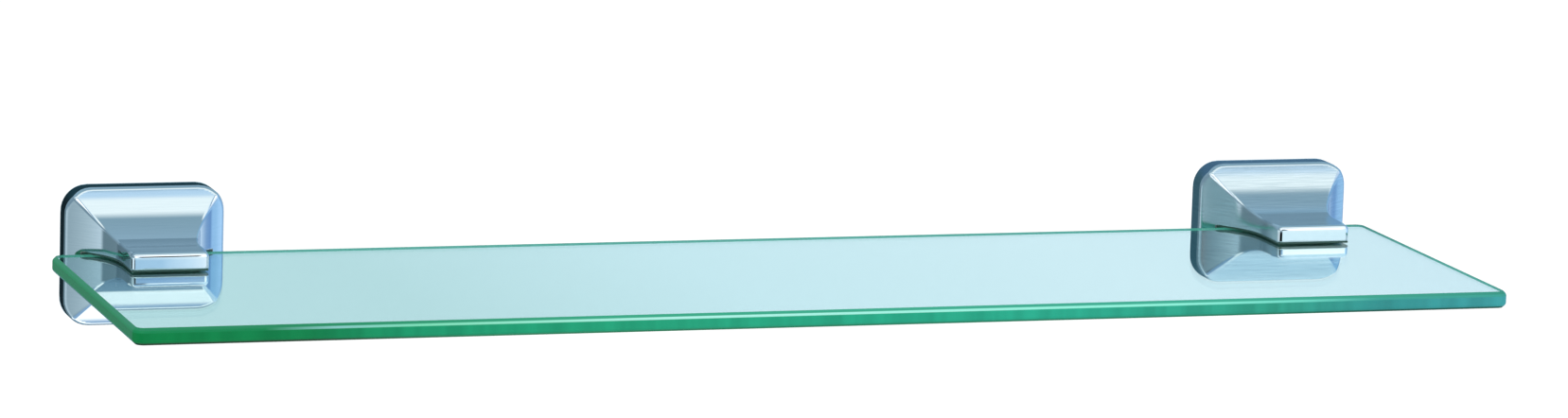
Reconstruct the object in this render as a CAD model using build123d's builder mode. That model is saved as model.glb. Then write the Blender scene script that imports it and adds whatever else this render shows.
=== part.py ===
"""Wall shelf: a float-glass pane held in the slotted arms of two die-cast wall brackets.

Frame: millimetres, +X along the shelf, -Y out from the wall, +Z up.
Origin: in the wall plane, midway between the two brackets, at the height of their centres.
"""
from build123d import *
import os

# ---- glass pane ---------------------------------------------------------------------------
GLASS_LENGTH = 500.0
GLASS_DEPTH = 140.0
GLASS_THICKNESS = 6.0
GLASS_CORNER_RADIUS = 4.0
GLASS_ARRIS = 1.2  # ground 45 degree edge, top and bottom
GLASS_WALL_GAP = 12.8  # wall to the back edge of the pane

# ---- brackets -----------------------------------------------------------------------------
PANE_OVERHANG = 35.0  # bracket centre to the end of the pane
BASE_WIDTH = 58.0
BASE_HEIGHT = 50.0
BASE_SIDE_DEPTH = 8.0  # straight side wall of the base
BASE_CORNER_RADIUS = 9.5
EDGE_RADIUS = 1.0  # soft edge round the rim, along the ridges and round the arm

ARM_PROJECTION = 51.2  # wall to the front of the jaws
ARM_WIDTH = 28.0
ARM_STRAIGHT = 13.0  # straight run of the arm before it flares out
UPPER_JAW = 6.0
LOWER_JAW = 4.0
FLARE_LEAN = 0.08  # share of the flare's rise reached in the first two thirds of its run
JAW_CORNER_RADIUS = 2.0  # upright corners at the front of the arm

CASTING_WALL = 2.6
CAVITY_DEPTH = 8.0  # pocket behind the base that covers the wall plate
CORE_DEPTH = 16.0  # further coring into the flare, above and below the slot

# ---- liner --------------------------------------------------------------------------------
LINER_THICKNESS = 0.65
LINER_SETBACK = 0.4  # liner edge behind the casting surface
GLASS_CLEARANCE = 0.05

# ---- wall plate ---------------------------------------------------------------------------
PLATE_WIDTH = 36.0
PLATE_HEIGHT = 32.0  # at its front face
PLATE_THICKNESS = 6.0
PLATE_UNDERCUT = 2.0  # each dovetail edge, front to back
PLATE_CORNER_RADIUS = 2.0
SCREW_HOLE_SPACING = 18.0
SCREW_HOLE_RADIUS = 2.25
COUNTERSINK_RADIUS = 4.4
COUNTERSINK_ANGLE = 90.0

HOOK_WIDTH = 30.0  # lip inside the casting that hangs on the plate
HOOK_DEPTH = 3.6
HOOK_CLEARANCE = 0.15

# ---- set screws ---------------------------------------------------------------------------
SCREW_RADIUS = 2.0
SCREW_BORE_CLEARANCE = 0.05
BASE_SCREW_LENGTH = 8.0
BASE_SCREW_POINT = 1.2  # cone point height
BASE_SCREW_DEPTH = 4.0  # wall to screw axis
BASE_SCREW_SEAT_GAP = 0.15
BOSS_WIDTH = 9.0
BOSS_HEIGHT = 4.0
HEX_ACROSS_FLATS = 2.0
HEX_DEPTH = 1.8

CLAMP_SCREW_LENGTH = 3.8
CLAMP_SCREW_FROM_FRONT = 8.0
PAD_RADIUS = 1.6
PAD_HOLE_CLEARANCE = 0.3

WELD = 0.5  # how far a boss or lip reaches into the wall that carries it

# ---- worked out ---------------------------------------------------------------------------
BRACKET_SPACING = GLASS_LENGTH - 2 * PANE_OVERHANG
SLOT_HEIGHT = GLASS_THICKNESS + 2 * (GLASS_CLEARANCE + LINER_THICKNESS)
ARM_HEIGHT = UPPER_JAW + SLOT_HEIGHT + LOWER_JAW
SLOT_TOP = ARM_HEIGHT / 2 - UPPER_JAW
SLOT_BOTTOM = SLOT_TOP - SLOT_HEIGHT
GLASS_TOP = SLOT_TOP - LINER_THICKNESS - GLASS_CLEARANCE
GLASS_BOTTOM = GLASS_TOP - GLASS_THICKNESS
SLOT_END = GLASS_WALL_GAP - GLASS_CLEARANCE - LINER_THICKNESS  # wall to the slot's floor
FLARE_FRONT = ARM_PROJECTION - ARM_STRAIGHT
CAVITY_HALF_HEIGHT = BASE_HEIGHT / 2 - CASTING_WALL
SLOT_MIDDLE = (SLOT_TOP + SLOT_BOTTOM) / 2
SCREW_BORE_RADIUS = SCREW_RADIUS + SCREW_BORE_CLEARANCE
CLAMP_SCREW_DEPTH = ARM_PROJECTION - CLAMP_SCREW_FROM_FRONT
SIDES = {"left": -BRACKET_SPACING / 2, "right": BRACKET_SPACING / 2}


def front_plane(depth: float) -> Plane:
    """Plane parallel to the wall, facing the room, at a depth from the wall."""
    return Plane.XZ.offset(depth)


def side_plane(across: float) -> Plane:
    """Plane square to the shelf; its own x runs out from the wall and its y runs up."""
    return Plane((across, 0, 0), x_dir=(0, -1, 0), z_dir=(-1, 0, 0))


def level_plane(depth: float, height: float) -> Plane:
    """Level plane at a height, with its origin at a depth from the wall."""
    return Plane((0, -depth, height))


def plan_plane(height: float) -> Plane:
    """Level plane whose own x runs out from the wall and whose y runs along the shelf."""
    return Plane((0, 0, height), x_dir=(0, -1, 0), z_dir=(0, 0, 1))


def half_outline(base: float, arm: float, inset: float) -> Wire:
    """Half of the casting's outline from the wall to the front of the arm, drawn in by an inset."""
    half_base = base / 2 - inset
    half_arm = arm / 2 - inset
    rim = BASE_SIDE_DEPTH - inset / 2
    front = ARM_PROJECTION - inset
    third = (FLARE_FRONT - rim) / 3
    lean = half_arm + (half_base - half_arm) * FLARE_LEAN
    with BuildLine() as outline:
        Polyline((0, 0), (0, half_base), (rim, half_base))
        Bezier((rim, half_base), (rim + third, lean), (rim + 2 * third, half_arm), (FLARE_FRONT, half_arm))
        Polyline((FLARE_FRONT, half_arm), (front, half_arm), (front, 0), (0, 0))
    return outline.wire()


def bracket_form(inset: float) -> Part:
    """Base, flare and arm as one form: side and plan outlines crossed within the base's outline."""
    with BuildPart() as form:
        with BuildSketch(side_plane(-BASE_WIDTH / 2)):
            with BuildLine():
                add(half_outline(BASE_HEIGHT, ARM_HEIGHT, inset))
            make_face()
            mirror(about=Plane.XZ)
        extrude(amount=-BASE_WIDTH)
        with BuildSketch(plan_plane(-BASE_HEIGHT / 2)):
            with BuildLine():
                add(half_outline(BASE_WIDTH, ARM_WIDTH, inset))
            make_face()
            mirror(about=Plane.XZ)
        extrude(amount=BASE_HEIGHT, mode=Mode.INTERSECT)
        with BuildSketch(front_plane(0)):
            RectangleRounded(BASE_WIDTH - 2 * inset, BASE_HEIGHT - 2 * inset, BASE_CORNER_RADIUS - inset)
        extrude(amount=ARM_PROJECTION, mode=Mode.INTERSECT)
    return form.part


def hollow() -> Part:
    """Inside of the casting: pocket for the wall plate, cored on into the flare round the slot's web."""
    core_end = CAVITY_DEPTH + CORE_DEPTH
    with BuildPart() as inside:
        add(bracket_form(CASTING_WALL))
        with BuildSketch(side_plane(-BASE_WIDTH / 2)):
            Rectangle(core_end, BASE_HEIGHT, align=(Align.MIN, Align.CENTER))
            with Locations((CAVITY_DEPTH, SLOT_MIDDLE)):
                Rectangle(
                    CORE_DEPTH,
                    SLOT_HEIGHT + 2 * CASTING_WALL,
                    align=(Align.MIN, Align.CENTER),
                    mode=Mode.SUBTRACT,
                )
        extrude(amount=-BASE_WIDTH, mode=Mode.INTERSECT)
    return inside.part


def set_screw(depth: float, bottom: float, length: float, point: float) -> Part:
    """Headless screw with a hexagon socket below and an optional cone point above."""
    with BuildPart() as screw:
        with BuildSketch(level_plane(depth, bottom)):
            Circle(SCREW_RADIUS)
        extrude(amount=length)
        if point:
            chamfer(screw.edges().sort_by(Axis.Z)[-1], length=point)
        with BuildSketch(level_plane(depth, bottom)):
            RegularPolygon(HEX_ACROSS_FLATS / 2, 6, major_radius=False)
        extrude(amount=HEX_DEPTH, mode=Mode.SUBTRACT)
    return screw.part


def dovetail_half_height(depth: float) -> float:
    """Half height of the wall plate at a depth from the wall."""
    return PLATE_HEIGHT / 2 - PLATE_UNDERCUT * (1 - depth / PLATE_THICKNESS)


os.makedirs("parts", exist_ok=True)

# ---- glass pane ---------------------------------------------------------------------------
with BuildPart() as glass_shelf:
    with BuildSketch(Plane.XY.offset(GLASS_BOTTOM)):
        with Locations((0, -GLASS_WALL_GAP - GLASS_DEPTH / 2)):
            RectangleRounded(GLASS_LENGTH, GLASS_DEPTH, GLASS_CORNER_RADIUS)
    extrude(amount=GLASS_THICKNESS)
    chamfer(glass_shelf.faces().sort_by(Axis.Z)[-1].edges(), length=GLASS_ARRIS)
    chamfer(glass_shelf.faces().sort_by(Axis.Z)[0].edges(), length=GLASS_ARRIS)
glass_shelf.part.label = "glass_shelf"
export_step(glass_shelf.part, "parts/glass_shelf.step")

# ---- casting: outside form ----------------------------------------------------------------
with BuildPart() as bracket_body:
    add(bracket_form(0))
    fillet(bracket_body.edges().filter_by(Axis.Z).group_by(Axis.Y)[0], radius=JAW_CORNER_RADIUS)
    outside = bracket_body.edges()
    flare_edges = outside.filter_by_position(Axis.Y, 1 - FLARE_FRONT, 1 - BASE_SIDE_DEPTH)
    arm_edges = outside.filter_by_position(Axis.Y, -1 - ARM_PROJECTION, -1 - FLARE_FRONT)
    fillet(flare_edges + arm_edges.filter_by(Axis.Z, reverse=True), radius=EDGE_RADIUS)
    add(hollow(), mode=Mode.SUBTRACT)

    # ---- casting: hook lip that hangs on the plate, and boss for the base screw ---------------
    with BuildSketch(side_plane(-HOOK_WIDTH / 2)):
        with BuildLine():
            Polyline(
                (0, CAVITY_HALF_HEIGHT + WELD),
                (0, dovetail_half_height(0) + HOOK_CLEARANCE),
                (HOOK_DEPTH, dovetail_half_height(HOOK_DEPTH) + HOOK_CLEARANCE),
                (HOOK_DEPTH, CAVITY_HALF_HEIGHT + WELD),
                close=True,
            )
        make_face()
    extrude(amount=-HOOK_WIDTH)
    with BuildSketch(level_plane(0, -CAVITY_HALF_HEIGHT - WELD)):
        Rectangle(BOSS_WIDTH, CAVITY_DEPTH, align=(Align.CENTER, Align.MAX))
    extrude(amount=BOSS_HEIGHT + WELD)

    # ---- casting: slot for the pane ----------------------------------------------------------
    with BuildSketch(side_plane(-BASE_WIDTH / 2)):
        with Locations((SLOT_END, SLOT_MIDDLE)):
            Rectangle(ARM_PROJECTION, SLOT_HEIGHT, align=(Align.MIN, Align.CENTER))
    extrude(amount=-BASE_WIDTH, mode=Mode.SUBTRACT)

    # ---- casting: screw bores -----------------------------------------------------------------
    with BuildSketch(level_plane(BASE_SCREW_DEPTH, -BASE_HEIGHT / 2)):
        Circle(SCREW_BORE_RADIUS)
    extrude(amount=CASTING_WALL + BOSS_HEIGHT, mode=Mode.SUBTRACT)
    with BuildSketch(level_plane(CLAMP_SCREW_DEPTH, -ARM_HEIGHT / 2)):
        Circle(SCREW_BORE_RADIUS)
    extrude(amount=LOWER_JAW, mode=Mode.SUBTRACT)

# ---- liner: clear channel between the casting and the pane ----------------------------------
with BuildPart() as slot_liner:
    add(bracket_form(LINER_SETBACK))
    with BuildSketch(side_plane(-BASE_WIDTH / 2)):
        with Locations((SLOT_END, SLOT_MIDDLE)):
            Rectangle(ARM_PROJECTION, SLOT_HEIGHT, align=(Align.MIN, Align.CENTER))
        with Locations((GLASS_WALL_GAP - GLASS_CLEARANCE, (GLASS_TOP + GLASS_BOTTOM) / 2)):
            Rectangle(
                ARM_PROJECTION,
                GLASS_THICKNESS + 2 * GLASS_CLEARANCE,
                align=(Align.MIN, Align.CENTER),
                mode=Mode.SUBTRACT,
            )
    extrude(amount=-BASE_WIDTH, mode=Mode.INTERSECT)
    with BuildSketch(level_plane(CLAMP_SCREW_DEPTH, SLOT_BOTTOM)):
        Circle(PAD_RADIUS + PAD_HOLE_CLEARANCE)
    extrude(amount=LINER_THICKNESS, mode=Mode.SUBTRACT)

# ---- wall plate: dovetail block that the casting hangs on -----------------------------------
with BuildPart() as wall_plate:
    with BuildSketch(side_plane(-PLATE_WIDTH / 2)):
        with BuildLine():
            Polyline(
                (0, dovetail_half_height(0)),
                (PLATE_THICKNESS, dovetail_half_height(PLATE_THICKNESS)),
                (PLATE_THICKNESS, -dovetail_half_height(PLATE_THICKNESS)),
                (0, -dovetail_half_height(0)),
                close=True,
            )
        make_face()
    extrude(amount=-PLATE_WIDTH)
    end_edges = wall_plate.edges().filter_by(Axis.X, reverse=True).filter_by(Axis.Z, reverse=True)
    fillet(end_edges, radius=PLATE_CORNER_RADIUS)
    with Locations(front_plane(PLATE_THICKNESS)):
        with GridLocations(1, SCREW_HOLE_SPACING, 1, 2):
            CounterSinkHole(
                SCREW_HOLE_RADIUS,
                COUNTERSINK_RADIUS,
                PLATE_THICKNESS,
                COUNTERSINK_ANGLE,
            )

# ---- base screw: bears on the plate's lower dovetail edge -----------------------------------
tip_edge_depth = BASE_SCREW_DEPTH + SCREW_RADIUS - BASE_SCREW_POINT
base_screw_top = -dovetail_half_height(tip_edge_depth) - BASE_SCREW_SEAT_GAP
base_screw_bottom = base_screw_top - BASE_SCREW_LENGTH
base_screw = set_screw(BASE_SCREW_DEPTH, base_screw_bottom, BASE_SCREW_LENGTH, BASE_SCREW_POINT)

# ---- clamp screw and its nylon pad: nip the pane from below ---------------------------------
clamp_screw_bottom = SLOT_BOTTOM - CLAMP_SCREW_LENGTH
clamp_screw = set_screw(CLAMP_SCREW_DEPTH, clamp_screw_bottom, CLAMP_SCREW_LENGTH, 0)
with BuildPart() as clamp_pad:
    with BuildSketch(level_plane(CLAMP_SCREW_DEPTH, SLOT_BOTTOM)):
        Circle(PAD_RADIUS)
    extrude(amount=GLASS_BOTTOM - SLOT_BOTTOM)

# ---- place a set at each end of the shelf ---------------------------------------------------
bracket_pieces = {
    "bracket_body": bracket_body.part,
    "slot_liner": slot_liner.part,
    "wall_plate": wall_plate.part,
    "base_screw": base_screw,
    "clamp_screw": clamp_screw,
    "clamp_pad": clamp_pad.part,
}
for side, centre in SIDES.items():
    for name, piece in bracket_pieces.items():
        node = piece.moved(Location((centre, 0, 0)))
        node.label = f"{name}_{side}"
        export_step(node, f"parts/{node.label}.step")
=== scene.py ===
"""Dresses a glass wall shelf: a float-glass pane held by two flared, chrome-plated castings.

Lengths inside the builders are millimetres in one casting's or the pane's own terms: across
(along the shelf), depth (out from the wall) and height. They become metres, in the frame of
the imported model, where a mesh is made. The studio's lengths are metres throughout.
"""
import logging
import math
from collections.abc import Callable, Sequence
from dataclasses import dataclass, field
from enum import Enum

import bpy
import numpy as np
from mathutils import Matrix, Vector


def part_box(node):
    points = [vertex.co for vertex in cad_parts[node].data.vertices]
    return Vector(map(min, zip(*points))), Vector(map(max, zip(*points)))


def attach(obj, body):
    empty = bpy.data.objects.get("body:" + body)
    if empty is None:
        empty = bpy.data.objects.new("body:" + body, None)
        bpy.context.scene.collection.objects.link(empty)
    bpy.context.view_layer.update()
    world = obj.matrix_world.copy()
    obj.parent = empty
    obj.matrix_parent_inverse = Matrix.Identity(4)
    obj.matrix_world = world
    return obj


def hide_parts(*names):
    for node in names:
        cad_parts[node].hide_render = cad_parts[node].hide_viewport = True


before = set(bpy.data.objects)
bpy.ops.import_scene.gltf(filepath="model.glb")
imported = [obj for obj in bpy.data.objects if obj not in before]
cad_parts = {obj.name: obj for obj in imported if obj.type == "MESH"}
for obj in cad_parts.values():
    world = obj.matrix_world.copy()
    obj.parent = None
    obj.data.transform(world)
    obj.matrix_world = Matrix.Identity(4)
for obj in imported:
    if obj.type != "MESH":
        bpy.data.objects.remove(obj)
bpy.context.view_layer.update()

LOG = logging.getLogger("wall_shelf")
MM = 0.001
DEGREE = math.radians(1)
HALVINGS = 44  # steps of a search by halving, enough to use up the digits of a number
PAST_TARGET = 1.15  # a share of the way to its target at which every ray is outside
NEAR_CORNER = np.array(  # shares of a half side, closer together towards its corner
    [0.16, 0.32, 0.46, 0.58, 0.68, 0.76, 0.83, 0.88, 0.92, 0.95, 0.97, 0.985, 1.0]
)
EDGE_STEPS = np.array([0.0, 0.04, 0.1, 0.2, 0.35])  # distances that follow a slot edge's rounding
SMOOTH = {"interpolation_type": "SMOOTHSTEP"}  # for a Map Range with soft ends

Field = Callable[[np.ndarray, np.ndarray, np.ndarray], np.ndarray]
Colour = tuple[float, float, float, float]
Span = tuple[float, float]
Bands = tuple[tuple[float, str] | tuple[float, float, str], ...]
Tree = bpy.types.NodeTree
Socket = bpy.types.NodeSocket
Material = bpy.types.Material


class Side(Enum):
    """The two ends of the shelf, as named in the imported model."""

    LEFT = "left"
    RIGHT = "right"


class Face(Enum):
    """What made a face of a casting; its number is its place in the list of materials."""

    SATIN = 0
    POLISHED = 1
    AS_CAST = 2
    CORED = 3
    BORED = 4


# ---- numbers and colours ------------------------------------------------------------------


def srgb(code: str) -> Colour:
    """Turns an sRGB hex colour into the linear colour that the shaders take.

    Args:
        code: Six hex digits after a hash, such as "#C8D2D8".

    Returns:
        Linear red, green, blue and an alpha of 1.
    """
    parts = [int(code[i : i + 2], 16) / 255 for i in (1, 3, 5)]
    linear = [c / 12.92 if c <= 0.04045 else ((c + 0.055) / 1.055) ** 2.4 for c in parts]
    return (linear[0], linear[1], linear[2], 1.0)


def smooth_step(low: float, high: float, value: np.ndarray) -> np.ndarray:
    """Goes from 0 at low to 1 at high with no corner at either end."""
    t = np.clip((value - low) / (high - low), 0.0, 1.0)
    return t * t * (3 - 2 * t)


def round_cut(a: np.ndarray, b: np.ndarray, radius: float | np.ndarray) -> np.ndarray:
    """Joins two distance fields as the solid inside both, with a rounded edge between them.

    Args:
        a: First field, negative inside.
        b: Second field, negative inside.
        radius: Radius of the edge in millimetres.

    Returns:
        The joined field.
    """
    u = np.maximum(a + radius, 0.0)
    v = np.maximum(b + radius, 0.0)
    return np.minimum(-radius, np.maximum(a, b)) + np.sqrt(u * u + v * v)


def last_inside(
    inside: Callable[[np.ndarray], np.ndarray], count: int, limit: float
) -> np.ndarray:
    """Finds by halving how far each of some rays stays inside a shape.

    Args:
        inside: Tells for one reach per ray which of their ends are inside.
        count: How many rays there are.
        limit: A reach at which every ray is outside.

    Returns:
        The reach of each ray.
    """
    low, high = np.zeros(count), np.full(count, limit)
    for _ in range(HALVINGS):
        reach = (low + high) / 2
        held = inside(reach)
        low, high = np.where(held, reach, low), np.where(held, high, reach)
    return low


# ---- nodes --------------------------------------------------------------------------------


def add_node(
    tree: Tree, kind: str, settings: dict[str | int, object] | None = None, *inputs: object
) -> bpy.types.bpy_prop_collection:
    """Adds a shader node with its settings and links.

    Args:
        tree: Node tree that gets the node.
        kind: Blender's name of the node type, without "ShaderNode".
        settings: Properties by name, and inputs by name or number. An input gets a value, or
            the socket that feeds it.
        *inputs: What the first inputs get, in their order.

    Returns:
        The new node's outputs.
    """
    node = tree.nodes.new("ShaderNode" + kind)
    for key, value in {**(settings or {}), **dict(enumerate(inputs))}.items():
        if isinstance(value, Socket):
            tree.links.new(value, node.inputs[key])
        elif isinstance(key, str) and hasattr(node, key):
            setattr(node, key, value)
        else:
            node.inputs[key].default_value = value
    return node.outputs


def new_material(name: str) -> tuple[Material, Tree]:
    """Makes an empty node material, and gives its node tree as well."""
    material = bpy.data.materials.new(name)
    material.use_nodes = True
    material.node_tree.nodes.clear()
    return material, material.node_tree


def colour_along(tree: Tree, value: Socket, bands: Bands, unit: float = 1.0) -> Socket:
    """Adds a colour that changes with a value: even within a band, and blending between bands.

    Args:
        tree: Node tree that gets it.
        value: The value, such as a place in metres or an angle in radians.
        bands: Where each band starts and ends, or its one place, and its sRGB hex colour, in
            rising order.
        unit: The bands' unit in the value's own.

    Returns:
        The colour.
    """
    stops = [(place, code) for *places, code in bands for place in places]
    start, end = stops[0][0], stops[-1][0]
    share = add_node(tree, "MapRange", None, value, start * unit, end * unit)["Result"]
    colour = add_node(tree, "ValToRGB", None, share)["Color"]
    elements = colour.node.color_ramp.elements
    while len(elements) < len(stops):
        elements.new(0.5)
    for element, (place, code) in zip(elements, stops):
        element.position = (place - start) / (end - start)
        element.color = srgb(code)
    return colour


# ---- meshes -------------------------------------------------------------------------------


@dataclass
class Shell:
    """A closed skin, gathered ring by ring, facing out in x, -y, z terms."""

    points: list[np.ndarray] = field(default_factory=list)
    faces: list[list[int]] = field(default_factory=list)
    finish: list[int] = field(default_factory=list)

    def add(self, ring: np.ndarray) -> list[int]:
        """Adds rows of across, depth and height, and gives the new points' numbers."""
        first = sum(len(points) for points in self.points)
        self.points.append(ring)
        return list(range(first, first + len(ring)))

    def face(self, corners: list[int], kind: Face) -> None:
        """Adds a face and what made it."""
        self.faces.append(corners)
        self.finish.append(kind.value)

    def wrap(self, ring: list[int], following: list[int], kind: Face) -> None:
        """Joins two closed rings by a belt of faces.

        Args:
            ring: Numbers of the first ring's points.
            following: Numbers of the next ring's points, as many.
            kind: What made the faces.
        """
        for i, corner in enumerate(ring):
            j = (i + 1) % len(ring)
            self.face([corner, ring[j], following[j], following[i]], kind)


def prism(first: np.ndarray, last: np.ndarray, sides: Face) -> Shell:
    """Gives a bar between two outlines.

    Args:
        first: One end's outline, as rows of across, depth and height.
        last: The other end's, in the same order.
        sides: What made its sides.

    Returns:
        The bar's skin.
    """
    bar = Shell()
    near, far = bar.add(first), bar.add(last)
    for i in range(len(near)):
        j = (i + 1) % len(near)
        bar.face([near[i], far[i], far[j], near[j]], sides)
    bar.face(near, Face.AS_CAST)
    bar.face(far[::-1], Face.AS_CAST)
    return bar


def upright_bar(plan: np.ndarray, low: float, high: float, sides: Face) -> Shell:
    """Gives an upright bar with a plan in across and depth, between two heights."""
    ends = [np.column_stack([plan, np.full(len(plan), height)]) for height in (low, high)]
    return prism(*ends, sides)


def make_mesh(
    name: str,
    points: np.ndarray,
    faces: Sequence[Sequence[int]],
    material_of: Sequence[int],
    normals: np.ndarray | None = None,
) -> bpy.types.Mesh:
    """Makes a mesh from points in metres.

    Args:
        name: Name of the mesh.
        points: One row per vertex.
        faces: Vertex numbers of each face, counter-clockwise from outside.
        material_of: Material number of each face.
        normals: One row per face corner, or None for flat faces.

    Returns:
        The mesh.
    """
    mesh = bpy.data.meshes.new(name)
    mesh.from_pydata([tuple(p) for p in points.tolist()], [], [tuple(f) for f in faces])
    mesh.polygons.foreach_set("material_index", np.asarray(material_of, np.int32))
    mesh.polygons.foreach_set("use_smooth", np.full(len(faces), normals is not None))
    mesh.update()
    if normals is not None:
        mesh.normals_split_custom_set([tuple(n) for n in normals.tolist()])
    return mesh


def read_all(
    items: bpy.types.bpy_prop_collection, name: str, width: int = 1, kind: type = float
) -> np.ndarray:
    """Reads one property of all of a mesh's vertices, corners or faces.

    Args:
        items: The vertices, corners or faces.
        name: Name of the property.
        width: How many numbers each has.
        kind: Type of the numbers.

    Returns:
        One number per item, or one row where each has several.
    """
    values = np.empty(len(items) * width, kind)
    items.foreach_get(name, values)
    return values.reshape(-1, width) if width > 1 else values


def link_object(name: str, data: bpy.types.ID | None) -> bpy.types.Object:
    """Makes an object and puts it in the scene."""
    obj = bpy.data.objects.new(name, data)
    bpy.context.scene.collection.objects.link(obj)
    return obj


# ---- finishes -----------------------------------------------------------------------------


@dataclass(frozen=True)
class SatinChrome:
    """Bright chrome over a zinc casting that was brushed fine before plating.

    The eye gets soft-edged reflections, drawn out a little across the brush lines, and faint
    streaks that run round the flare.
    """

    name: str
    roughness: float
    streak_roughness: float
    colour: str = "#CFD6DB"
    streak_colour: str = "#C0CAD1"
    line_spacing_mm: float = 0.45  # coarser than the real 0.1 mm grit, so that it shows
    line_length_mm: float = 14.0
    line_depth_mm: float = 0.004
    line_strength: float = 0.35
    line_detail: float = 3.0
    line_raggedness: float = 0.6
    line_contrast: Span = (0.3, 0.7)
    level_slopes: Span = (0.2, 0.45)  # between a side's lines and those of a level face

    def material(self) -> Material:
        """Builds the material.

        Returns:
            Metal with fine streaks, level on every face.
        """
        material, tree = new_material(self.name)
        place = add_node(tree, "TexCoord")["Object"]
        fine, along = 1 / (self.line_spacing_mm * MM), 1 / (self.line_length_mm * MM)
        lines = []
        for scale in ((along, along, fine), (along, fine, fine)):
            spread = add_node(tree, "Mapping", {"Scale": scale, "Vector": place})["Vector"]
            brush = {"Scale": 1.0, "Detail": self.line_detail, "Roughness": self.line_raggedness}
            lines.append(add_node(tree, "TexNoise", {**brush, "Vector": spread})["Fac"])
        normal = add_node(tree, "NewGeometry")["Normal"]
        upright = add_node(tree, "SeparateXYZ", {"Vector": normal})["Z"]
        level = add_node(tree, "Math", {"operation": "ABSOLUTE"}, upright)["Value"]
        share = add_node(tree, "MapRange", SMOOTH, level, *self.level_slopes)["Result"]
        both = {"data_type": "FLOAT", 0: share, 2: lines[0], 3: lines[1]}
        streak = add_node(tree, "Mix", both)[0]
        tints = {"data_type": "RGBA", 0: streak, 6: srgb(self.streak_colour), 7: srgb(self.colour)}
        rough = (*self.line_contrast, self.streak_roughness, self.roughness)
        depth = self.line_depth_mm * MM
        bump = {"Strength": self.line_strength, "Distance": depth, "Height": streak}
        metal = {
            "Metallic": 1.0,
            "Base Color": add_node(tree, "Mix", tints)[2],
            "Roughness": add_node(tree, "MapRange", None, streak, *rough)["Result"],
            "Normal": add_node(tree, "Bump", bump)["Normal"],
        }
        add_node(tree, "OutputMaterial", None, add_node(tree, "BsdfPrincipled", metal)["BSDF"])
        return material


@dataclass(frozen=True)
class PolishedChrome:
    """Bright chrome buffed to a mirror before plating, as on the front of the jaws.

    The eye gets sharp reflections, with a trace of haze from buffing.
    """

    colour: str = "#D5DBDF"
    haze_colour: str = "#CBD3D9"
    roughness: float = 0.045
    haze_roughness: float = 0.10
    haze_size_mm: float = 3.0
    haze_detail: float = 4.0
    haze_contrast: Span = (0.35, 0.7)

    def material(self) -> Material:
        """Builds the material.

        Returns:
            Mirror-like metal with patches of faint haze.
        """
        material, tree = new_material("polished_chrome")
        place = add_node(tree, "TexCoord")["Object"]
        patches = {"Scale": 1 / (self.haze_size_mm * MM), "Detail": self.haze_detail}
        haze = add_node(tree, "TexNoise", {**patches, "Vector": place})["Fac"]
        tints = {"data_type": "RGBA", 0: haze, 6: srgb(self.colour), 7: srgb(self.haze_colour)}
        rough = (*self.haze_contrast, self.roughness, self.haze_roughness)
        metal = {
            "Metallic": 1.0,
            "Base Color": add_node(tree, "Mix", tints)[2],
            "Roughness": add_node(tree, "MapRange", None, haze, *rough)["Result"],
        }
        add_node(tree, "OutputMaterial", None, add_node(tree, "BsdfPrincipled", metal)["BSDF"])
        return material


@dataclass(frozen=True)
class GrainedSkin:
    """A skin with a mottle of two shades and a low even grain."""

    name: str
    colour: str
    dark_colour: str
    roughness: float
    grain_mm: float
    grain_depth_mm: float
    grain_strength: float = 0.6
    grain_detail: float = 2.0
    grains_per_mottle: float = 5.0
    mottle_detail: float = 3.0

    def skin(self, body: dict[str | int, object]) -> Material:
        """Builds the material.

        Args:
            body: Further settings of its shader.

        Returns:
            A mottled, grained surface.
        """
        material, tree = new_material(self.name)
        place = add_node(tree, "TexCoord")["Object"]
        fine = 1 / (self.grain_mm * MM)
        patches = {"Scale": fine / self.grains_per_mottle, "Detail": self.mottle_detail}
        mottle = add_node(tree, "TexNoise", {**patches, "Vector": place})["Fac"]
        specks = {"Scale": fine, "Detail": self.grain_detail, "Vector": place}
        grain = add_node(tree, "TexNoise", specks)["Fac"]
        tints = {"data_type": "RGBA", 0: mottle, 6: srgb(self.dark_colour), 7: srgb(self.colour)}
        depth = self.grain_depth_mm * MM
        bump = {"Strength": self.grain_strength, "Distance": depth, "Height": grain}
        shader = {
            "Roughness": self.roughness,
            "Base Color": add_node(tree, "Mix", tints)[2],
            "Normal": add_node(tree, "Bump", bump)["Normal"],
        }
        add_node(tree, "OutputMaterial", None, add_node(tree, "BsdfPrincipled", {**shader, **body})["BSDF"])
        return material


@dataclass(frozen=True)
class GrainyMetal(GrainedSkin):
    """Metal left as it came from its mould or bath, with a fine even grain.

    The eye gets a broad soft shine with a slight mottle.
    """

    def material(self) -> Material:
        """Builds rough metal with a mottled colour and a low grain."""
        return self.skin({"Metallic": 1.0})


@dataclass(frozen=True)
class MouldedPlastic(GrainedSkin):
    """Soft vinyl or nylon, moulded or extruded, with a matt skin.

    The eye gets one body colour with a slight change of shade, and a dull broad shine.
    """

    grain_mm: float = 0.8
    grain_depth_mm: float = 0.01
    grain_strength: float = 0.2
    grains_per_mottle: float = 1.0
    mottle_detail: float = 2.0
    ior: float = 1.53

    def material(self) -> Material:
        """Builds plastic with a slight change of shade over its length."""
        return self.skin({"IOR": self.ior})


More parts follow.
